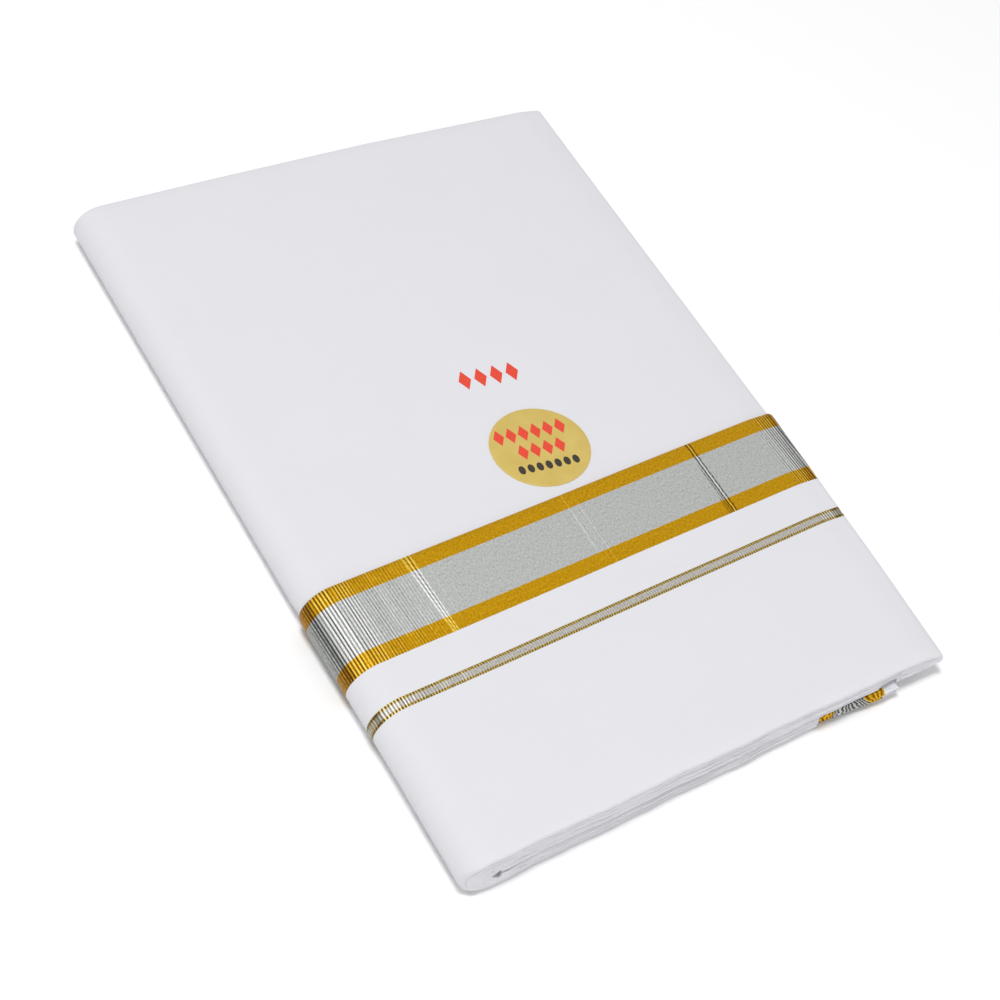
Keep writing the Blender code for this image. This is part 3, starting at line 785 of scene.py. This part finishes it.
# %% A disc of foil
LABEL_RINGS = (0.25, 0.5, 0.75, 0.92, 0.98, 1.0)
LABEL_SPOKES = 96
FOIL_TOP, FOIL_RIM, FOIL_UNDER = 0.00045, 0.00008, 0.00010     # above the cloth; its rim is lower
SKEW_ROUNDS = 8                # guesses that settle where a point of the skewed packet belongs


def surface_height(x, y):
    """Height of the plain cloth with its waves, at a place in the straight packet."""
    return top_height(x, y) + waves(x, y)


def straight_y(x, y):
    """The place along the straight packet of a point that is given in the skewed one."""
    guess = np.array(y, dtype=float)
    for _ in range(SKEW_ROUNDS):
        guess = y - skew_at(x, guess)
    return guess


def on_cloth(x, y, lift):
    """Points above the plain cloth, for places given as they lie in the skewed packet."""
    x, y = np.asarray(x, dtype=float), np.asarray(y, dtype=float)
    return columns(x + SHIFT_X, y + SHIFT_Y, surface_height(x, straight_y(x, y)) + lift)


def band(first, second):
    """Faces between two rings of points, each given by its number."""
    near, far = first * LABEL_SPOKES, second * LABEL_SPOKES
    spokes = [(spoke, (spoke + 1) % LABEL_SPOKES) for spoke in range(LABEL_SPOKES)]
    return [[near + a, far + a, far + b, near + b] for a, b in spokes]


STUCK_X, STUCK_Y = LABEL_X + 0.0012, LABEL_Y + 0.0011     # the foil is stuck on a little off its place
LABEL_WIDE, LABEL_TALL = 1.02, 0.975           # and isn't punched quite round
turn = np.linspace(0, 2 * math.pi, LABEL_SPOKES, endpoint=False)
points, faces, foil_places = [], [], []
for lift, rim in ((FOIL_TOP, FOIL_RIM), (FOIL_UNDER, 0.0)):
    for ring in LABEL_RINGS:
        x = STUCK_X + LABEL_WIDE * LABEL_RADIUS * ring * np.cos(turn)
        y = STUCK_Y + LABEL_TALL * LABEL_RADIUS * ring * np.sin(turn)
        points.append(on_cloth(x, y, lift - rim * (ring == 1.0)))
        foil_places.append(columns(x - STUCK_X, y - STUCK_Y, 0.0))
rings = len(LABEL_RINGS)
for ring in range(rings - 1):
    faces += band(ring, ring + 1)
for ring in range(rings, 2 * rings - 1):
    faces += [quad[::-1] for quad in band(ring, ring + 1)]
faces += band(rings - 1, 2 * rings - 1)
faces.append(list(range(LABEL_SPOKES)))
faces.append([rings * LABEL_SPOKES + spoke for spoke in reversed(range(LABEL_SPOKES))])
label = skin("foil_label", np.concatenate(points), faces, np.concatenate(foil_places))
print("foil label is", round(2000 * LABEL_RADIUS, 1), "mm across")

# %% Rows of small printed marks
PRINT_ANGLE = math.radians(-5.8)
INK_ON_FOIL, INK_ON_CLOTH = (0.00040, 0.00049), (-0.00010, 0.00004)    # its underside and its top
PrintRow = namedtuple("PrintRow", "count pitch start up half_width half_height corners")
Mark = namedtuple("Mark", "across up half_width half_height corners")


def marks_of(row):
    """The marks of a row, spaced evenly about its middle."""
    steps = [number - (row.count - 1) / 2 for number in range(row.count)]
    return [Mark(step * row.pitch + row.start, row.up, *row[4:]) for step in steps]


def printed(name, rows, centre_x, centre_y, low, high):
    """Flat marks of ink, each a many-sided lozenge or dot, laid along a tilted line."""
    points, faces, ink_places = [], [], []
    for mark in [mark for row in rows for mark in marks_of(row)]:
        angles = np.linspace(0, 2 * math.pi, mark.corners, endpoint=False)
        across = mark.across + mark.half_width * np.cos(angles)
        up = mark.up + mark.half_height * np.sin(angles)
        x = centre_x + across * math.cos(PRINT_ANGLE) - up * math.sin(PRINT_ANGLE)
        y = centre_y + across * math.sin(PRINT_ANGLE) + up * math.cos(PRINT_ANGLE)
        first = sum(len(p) for p in points)
        points += [on_cloth(x, y, high), on_cloth(x, y, low)]
        ink_places += [columns(across, up, 0.0)] * 2
        top = [first + i for i in range(mark.corners)]
        below = [i + mark.corners for i in top]
        faces.append(top)
        faces.append(below[::-1])
        faces += [[top[i - 1], below[i - 1], below[i], top[i]] for i in range(mark.corners)]
    return skin(name, np.concatenate(points), faces, np.concatenate(ink_places))


RED_ROWS = (
    PrintRow(6, 0.0060, -0.0002, 0.0104, 0.0026, 0.0045, 4),
    PrintRow(4, 0.0060, 0.0014, 0.0002, 0.0026, 0.0044, 4),
)
DARK_ROWS = (PrintRow(7, 0.0044, 0.0009, -0.0092, 0.0016, 0.0024, 12),)
STAMP_ROWS = (PrintRow(4, 0.0078, 0.0025, 0.0012, 0.0031, 0.0056, 4),)
STAMP_X, STAMP_Y = 0.1315, 0.2120
red_print = printed("label_red_lozenges", RED_ROWS, LABEL_X, LABEL_Y, *INK_ON_FOIL)
dark_print = printed("label_dark_dots", DARK_ROWS, LABEL_X, LABEL_Y, *INK_ON_FOIL)
stamp = printed("ink_stamp", STAMP_ROWS, STAMP_X, STAMP_Y, *INK_ON_CLOTH)
print(sum(row.count for row in RED_ROWS + DARK_ROWS), "marks on the label,",
      sum(row.count for row in STAMP_ROWS), "in the stamp")

# %% [markdown]
# ## Finishes
# Every finish is made of nodes that read the flat cloth's own coordinates, so threads bend with
# the folds. Picture textures would need an unwrapped layout for each piece and would blur close
# up. Numbers that are the same all over are set on the shader itself.

# %% Helpers for finishes
def set_inputs(node, inputs):
    for name, value in inputs.items():
        node.inputs[name].default_value = value


class Finish:
    """A node material that is built one node at a time."""

    def __init__(self, name, roughness, metallic=0.0):
        self.material = bpy.data.materials.new(name)
        self.material.use_nodes = True
        self.tree = self.material.node_tree
        self.link = self.tree.links.new
        self.shader = self.tree.nodes["Principled BSDF"]
        set_inputs(self.shader, {"Roughness": roughness, "Metallic": metallic})
        threads = self.add("ShaderNodeAttribute", attribute_name=THREAD_PLACE)
        scaled = self.add("ShaderNodeVectorMath", {"Scale": MM}, operation="SCALE")
        self.link(threads.outputs["Vector"], scaled.inputs[0])
        self.cloth_mm = scaled.outputs["Vector"]
        # the attribute's third coordinate carries the painted highlight and shade
        split = self.add("ShaderNodeSeparateXYZ")
        self.link(self.cloth_mm, split.inputs[0])
        self.along, self.across, self.tone = split.outputs

    def add(self, kind, inputs=None, **settings):
        node = self.tree.nodes.new(kind)
        for key, value in settings.items():
            setattr(node, key, value)
        set_inputs(node, inputs or {})
        return node

    def maths(self, operation, first, second=None, third=None):
        node = self.add("ShaderNodeMath", operation=operation)
        for socket, value in zip(node.inputs, (first, second, third)):
            if isinstance(value, bpy.types.NodeSocket):
                self.link(value, socket)
            elif value is not None:
                socket.default_value = value
        return node.outputs[0]

    def noise(self, scale, detail=2.0, stretch=(1.0, 1.0, 1.0)):
        mapping = self.add("ShaderNodeMapping", {"Scale": stretch})
        self.link(self.cloth_mm, mapping.inputs["Vector"])
        node = self.add("ShaderNodeTexNoise", {"Scale": scale, "Detail": detail})
        self.link(mapping.outputs[0], node.inputs["Vector"])
        return node.outputs["Fac"]

    def ramp(self, value, stops):
        node = self.add("ShaderNodeValToRGB")
        while len(node.color_ramp.elements) < len(stops):
            node.color_ramp.elements.new(0.5)
        for element, (position, colour) in zip(node.color_ramp.elements, stops):
            element.position = position
            element.color = (*colour, 1.0)
        self.link(value, node.inputs["Fac"])
        return node.outputs["Color"]

    def mix(self, share, first, second):
        node = self.add("ShaderNodeMix", data_type="RGBA")
        for number, value in ((0, share), (6, first), (7, second)):
            self.link(value, node.inputs[number])
        return node.outputs[2]

    def colour(self, socket):
        self.link(socket, self.shader.inputs["Base Color"])

    def bump(self, height, distance_mm, strength=1.0):
        node = self.add("ShaderNodeBump", {"Strength": strength, "Distance": distance_mm / MM})
        self.link(height, node.inputs["Height"])
        self.link(node.outputs[0], self.shader.inputs["Normal"])


print("finishes read the attribute", THREAD_PLACE)

# %% [markdown]
# ### Cotton
# Fine plain weave: threads go over and under each other, taken here as about three to a
# millimetre. The cloth is white with a cool cast, and only faintly uneven.

# %% Cotton
THREAD_PITCH = 0.36            # in millimetres, as all sizes in the finishes are
SLUB_STRETCH, SLUB_SHARE = (0.05, 1.0, 1.0), 0.8       # slubs run along the warp


def plain_weave(finish, pitch):
    """Height of a plain weave, from 0 to 1."""
    weft = finish.maths("SINE", finish.maths("MULTIPLY", finish.along, 2 * math.pi / pitch))
    warp = finish.maths("SINE", finish.maths("MULTIPLY", finish.across, 2 * math.pi / pitch))
    crossed = finish.maths("MULTIPLY", weft, warp)
    return finish.maths("MULTIPLY_ADD", crossed, 0.5, 0.5)


def cotton_finish(name, light, shade):
    finish = Finish(name, roughness=0.85)
    set_inputs(finish.shader, {"Sheen Weight": 0.15, "Sheen Roughness": 0.5, "Specular IOR Level": 0.2})
    slub = finish.noise(scale=0.9, detail=3.0, stretch=SLUB_STRETCH)
    cloud = finish.noise(scale=0.03, detail=2.0)
    blend = finish.maths("MULTIPLY_ADD", slub, 0.5, finish.maths("MULTIPLY", cloud, 0.5))
    finish.colour(finish.ramp(blend, ((0.30, shade), (0.70, light))))
    weave = plain_weave(finish, THREAD_PITCH)
    height = finish.maths("MULTIPLY_ADD", slub, SLUB_SHARE, weave)
    finish.bump(height, distance_mm=0.035, strength=0.6)
    return finish.material


white_cotton = cotton_finish("bleached_cotton", (0.700, 0.700, 0.732), (0.685, 0.685, 0.720))
print("cotton threads are", THREAD_PITCH, "mm apart")

# %% [markdown]
# ### Zari
# Zari is a flat metal thread wound round a core. It floats over several weft threads and then
# dips, row after row, so a brick pattern of short bright floats gives its grain.

# %% Gold and silver zari
FLOAT_LENGTH, FLOAT_WIDTH = 0.89, 0.42
FLOATS = {                     # settings of the brick pattern
    "Scale": 1.0, "Brick Width": FLOAT_LENGTH, "Row Height": FLOAT_WIDTH, "Bias": 0.0,
    "Mortar Size": 0.06, "Mortar Smooth": 0.6, "Mortar": (0.0, 0.0, 0.0, 1.0),
    "Color1": (1.0, 1.0, 1.0, 1.0), "Color2": (0.6, 0.6, 0.6, 1.0),
}
GRAIN_STRETCH = (1.0, 0.55, 1.0)               # grains run along the weft
FLOAT_SHARE, MEAN_HEIGHT, GRAIN_SHARE = 0.25, 0.63, 0.75
PAINTED_LIGHT_SHARE, MIDDLE_TONE = 0.42, 0.48           # how far the painted highlight and shade move the colour, and from where
SHADE_GRAIN_FADE, SHADE_GRAIN_LEAST = 0.9, 0.2               # the grain is fainter where the colour has painted shade


def zari_floats(finish):
    """A brick pattern of short thread floats, from 0 in the dips to 1 on the floats."""
    brick = finish.add("ShaderNodeTexBrick", FLOATS, offset=0.5, offset_frequency=2, squash=1.0)
    finish.link(finish.cloth_mm, brick.inputs["Vector"])
    return brick.outputs["Color"]


def zari_colour(finish, stops):
    """Height of the threads, and their colour: painted shade in valleys and where the zari is painted
    darker, painted highlight on flutes, and brighter on grains.
    """
    floats = zari_floats(finish)
    grain = finish.noise(scale=1.5, detail=2.5, stretch=GRAIN_STRETCH)
    height = finish.maths("MULTIPLY_ADD", floats, FLOAT_SHARE, grain)
    shown = finish.maths("MULTIPLY_ADD", finish.tone, SHADE_GRAIN_FADE, 1.0)
    shown = finish.maths("MINIMUM", finish.maths("MAXIMUM", shown, SHADE_GRAIN_LEAST), 1.0)
    shown = finish.maths("MULTIPLY", shown, GRAIN_SHARE)
    height = finish.maths("MULTIPLY", finish.maths("SUBTRACT", height, MEAN_HEIGHT), shown)
    blend = finish.maths("ADD", height, MIDDLE_TONE)
    blend = finish.maths("MULTIPLY_ADD", finish.tone, PAINTED_LIGHT_SHARE, blend)
    return height, finish.ramp(blend, stops)


def zari_finish(name, stops, roughness, metallic):
    finish = Finish(name, roughness, metallic)
    height, colour = zari_colour(finish, stops)
    finish.colour(colour)
    finish.bump(height, distance_mm=0.08, strength=0.7)
    return finish.material


GOLD_STOPS = (
    (0.08, (0.090, 0.026, 0.000)),
    (0.36, (0.545, 0.278, 0.000)),
    (0.62, (0.800, 0.442, 0.001)),
    (0.95, (1.000, 0.780, 0.160)),
)
SILVER_STOPS = (
    (0.08, (0.060, 0.063, 0.060)),
    (0.36, (0.535, 0.548, 0.528)),
    (0.62, (0.705, 0.720, 0.700)),
    (0.95, (1.000, 1.000, 1.000)),
)
ZARI_ROUGHNESS, ZARI_METAL = 0.46, 0.80        # less glare than pure metal, but not none from above
gold_zari = zari_finish("gold_zari", GOLD_STOPS, ZARI_ROUGHNESS, ZARI_METAL)
silver_zari = zari_finish("silver_zari", SILVER_STOPS, ZARI_ROUGHNESS, ZARI_METAL)
print("zari floats are", FLOAT_LENGTH, "by", FLOAT_WIDTH, "mm")

# %% The thin line is silver between two roped gold edges
THIN_MIDDLE, THIN_SILVER, ROPE_PITCH = 78.3, 1.40, 1.25        # its middle, half its silver, one twist
ROPE_TWIST, SILVER_TWIST = 0.26, 0.07          # how far a twist moves the colour
TWIST_UNEVEN = 6.0             # in radians, how far chance shifts a twist
THIN_PAINTED_LIGHT, THIN_GRAIN, THIN_MIDDLE_TONE = 0.50, 0.9, 0.5       # how far the flutes' painted highlight and shade, and the grain, move it
ROPE_STOPS = (
    (0.10, (0.100, 0.065, 0.008)),
    (0.50, (0.420, 0.285, 0.050)),
    (0.90, (0.880, 0.700, 0.280)),
)
THIN_SILVER_STOPS = (
    (0.10, (0.260, 0.225, 0.160)),
    (0.50, (0.640, 0.605, 0.555)),
    (0.90, (0.980, 0.970, 0.900)),
)


def thin_line_finish():
    finish = Finish("thin_line_zari", roughness=0.42, metallic=0.8)
    height, _ = zari_colour(finish, THIN_SILVER_STOPS)
    off = finish.maths("ABSOLUTE", finish.maths("SUBTRACT", finish.across, THIN_MIDDLE))
    chance = finish.noise(scale=0.35, detail=1.0, stretch=(1.0, 0.1, 1.0))
    uneven = finish.maths("MULTIPLY", chance, TWIST_UNEVEN)
    turns = finish.maths("MULTIPLY_ADD", finish.along, 2 * math.pi / ROPE_PITCH, uneven)
    twist = finish.maths("SINE", finish.maths("ADD", turns, off))
    # the grain, plus the painted highlight and shade carried by the mesh
    grain_and_painted_light = finish.maths("MULTIPLY_ADD", height, THIN_GRAIN, THIN_MIDDLE_TONE)
    grain_and_painted_light = finish.maths("MULTIPLY_ADD", finish.tone, THIN_PAINTED_LIGHT, grain_and_painted_light)
    gold = finish.ramp(finish.maths("MULTIPLY_ADD", twist, ROPE_TWIST, grain_and_painted_light), ROPE_STOPS)
    silver = finish.ramp(finish.maths("MULTIPLY_ADD", twist, SILVER_TWIST, grain_and_painted_light), THIN_SILVER_STOPS)
    is_silver = finish.maths("LESS_THAN", off, THIN_SILVER)
    finish.colour(finish.mix(is_silver, gold, silver))
    finish.bump(height, distance_mm=0.08, strength=0.6)
    return finish.material


thin_zari = thin_line_finish()
print("the thin line has", 2 * THIN_SILVER, "mm of silver in it")

# %% [markdown]
# ### Foil and ink
# The label is gold foil, satin with faint clouds. The ink is dull.

# %% Foil and ink
FOIL_SHADE, FOIL_LIGHT = (0.78, 0.577, 0.147), (0.85, 0.646, 0.193)


def foil_finish():
    finish = Finish("gold_foil", roughness=0.38, metallic=0.55)
    cloud = finish.noise(scale=0.10, detail=2.0)
    finish.colour(finish.ramp(cloud, ((0.3, FOIL_SHADE), (0.7, FOIL_LIGHT))))
    finish.bump(finish.noise(scale=1.6, detail=2.0), distance_mm=0.012, strength=0.3)
    return finish.material


def ink_finish(name, light, shade):
    finish = Finish(name, roughness=0.6)
    mottle = finish.noise(scale=1.8, detail=3.0)
    finish.colour(finish.ramp(mottle, ((0.35, shade), (0.65, light))))
    finish.bump(finish.noise(scale=3.0, detail=1.0), distance_mm=0.02, strength=0.5)
    return finish.material


gold_foil = foil_finish()
red_ink = ink_finish("red_ink", (0.80, 0.07, 0.03), (0.66, 0.04, 0.02))
dark_ink = ink_finish("dark_ink", (0.05, 0.035, 0.02), (0.025, 0.02, 0.015))
print("foil and ink are ready")

# %% [markdown]
# ## Hand each piece to the frame
# Every piece rides with the packet's one body, and all but the ink stand for the solid they were
# made over. Each sheet's points keep where they lie on the flat cloth: once round the packet, by
# the depth that shows. That isn't the whole cut. The real cloth is one sheet, taken as 2.00 by
# 1.27 metres, and most of it is hidden inside.

# %% Pieces, solids and finishes
def dress(piece, node, finish):
    piece.data.materials.append(finish)
    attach(piece, "root")
    if node:
        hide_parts(node)


finish_of = {"gold": gold_zari, "silver": silver_zari, "cotton": white_cotton}
dress(top_cloth, "top_cloth", white_cotton)
dress(flap, "front_flap", white_cotton)
dress(layers, "folded_layers", white_cotton)
dress(outer_gold, "border_outer_gold", gold_zari)
for woven in WOVEN:
    finish = thin_zari if woven.name == "thin_line_weave" else finish_of[woven.slot]
    dress(woven_pieces[woven.name], woven.node, finish)
for end in END_STRETCHES:
    dress(end_pieces[end.name], end.node, finish_of[end.slot])
dress(label, "round_label", gold_foil)
for piece, finish in ((red_print, red_ink), (dark_print, dark_ink), (stamp, red_ink)):
    dress(piece, None, finish)

# %% [markdown]
# ## Floor, light and camera
# The packet lies on a plain pale floor under a wide soft light, so its shadows hug its edges.

# %% The floor
FLOOR_COLOUR, FLOOR_ROUGHNESS, FLOOR_GLOW, FLOOR_REACH = (0.94, 0.94, 0.94), 0.9, 0.02, 3.0


def plain_floor():
    mesh = bpy.data.meshes.new("floor")
    corners = [(-1, -1), (1, -1), (1, 1), (-1, 1)]
    mesh.from_pydata([(FLOOR_REACH * x, FLOOR_REACH * y, 0) for x, y in corners], [], [(0, 1, 2, 3)])
    floor = put_in_scene("floor", mesh)
    paint = bpy.data.materials.new("floor_paint")
    paint.use_nodes = True
    set_inputs(paint.node_tree.nodes["Principled BSDF"], {
        "Base Color": (*FLOOR_COLOUR, 1), "Roughness": FLOOR_ROUGHNESS,
        "Emission Color": (1, 1, 1, 1), "Emission Strength": FLOOR_GLOW})
    mesh.materials.append(paint)
    return floor


floor = plain_floor()
print("the floor is", 2 * FLOOR_REACH, "m across")

# %% Soft light from above, and a bright room all round
Lamp = namedtuple("Lamp", "name place size watts")
LAMPS = (
    Lamp("overhead", (-0.56, -0.18, 2.2), 0.50, 31.5),
    Lamp("front_fill", (0.25, -1.40, 0.40), 0.6, 2.4),
)
ROOM_LOW, ROOM_HIGH = (0.62, 0.62, 0.63), (0.46, 0.46, 0.46)
for lamp in LAMPS:
    data = bpy.data.lights.new(lamp.name, "AREA")
    data.shape, data.size, data.energy = "SQUARE", lamp.size, lamp.watts
    light = put_in_scene(lamp.name, data)
    light.location = lamp.place
    light.rotation_mode = "QUATERNION"
    light.rotation_quaternion = Vector(lamp.place).to_track_quat("Z", "Y")
room = bpy.data.worlds.new("room")
room.use_nodes = True
tree = room.node_tree
sky = tree.nodes.new("ShaderNodeTexCoord")
split = tree.nodes.new("ShaderNodeSeparateXYZ")
ramp = tree.nodes.new("ShaderNodeValToRGB")
ramp.color_ramp.elements[0].color = (*ROOM_LOW, 1.0)
ramp.color_ramp.elements[1].color = (*ROOM_HIGH, 1.0)
tree.links.new(sky.outputs["Generated"], split.inputs[0])
tree.links.new(split.outputs["Z"], ramp.inputs["Fac"])
tree.links.new(ramp.outputs["Color"], tree.nodes["Background"].inputs["Color"])
bpy.context.scene.world = room
bpy.context.scene.view_settings.view_transform = "Standard"
print(len(LAMPS), "lamps give", sum(lamp.watts for lamp in LAMPS), "watts")

# %% The camera
AZIMUTH, ELEVATION, ROLL = (math.radians(angle) for angle in (-41.08, 50.06, 15.24))
TARGET_X, TARGET_Y = 0.11483, 0.16081          # from the straight packet's spine corner
TARGET = Vector((SHIFT_X + TARGET_X, SHIFT_Y + TARGET_Y, 0.0))
DISTANCE, LENS, SENSOR = 1.08518, 88.31, 36.0
back = Vector((math.sin(AZIMUTH) * math.cos(ELEVATION), -math.cos(AZIMUTH) * math.cos(ELEVATION),
               math.sin(ELEVATION)))
level = Vector((math.cos(AZIMUTH), math.sin(AZIMUTH), 0.0))
above = back.cross(level)
right = math.cos(ROLL) * level + math.sin(ROLL) * above
up = -math.sin(ROLL) * level + math.cos(ROLL) * above
data = bpy.data.cameras.new("camera")
data.lens, data.sensor_width = LENS, SENSOR
camera = put_in_scene("camera", data)
axes = Matrix((right, up, back)).transposed()
camera.matrix_world = Matrix.Translation(TARGET + DISTANCE * back) @ axes.to_4x4()
bpy.context.scene.camera = camera
print("camera stands", round(DISTANCE, 3), "m away")
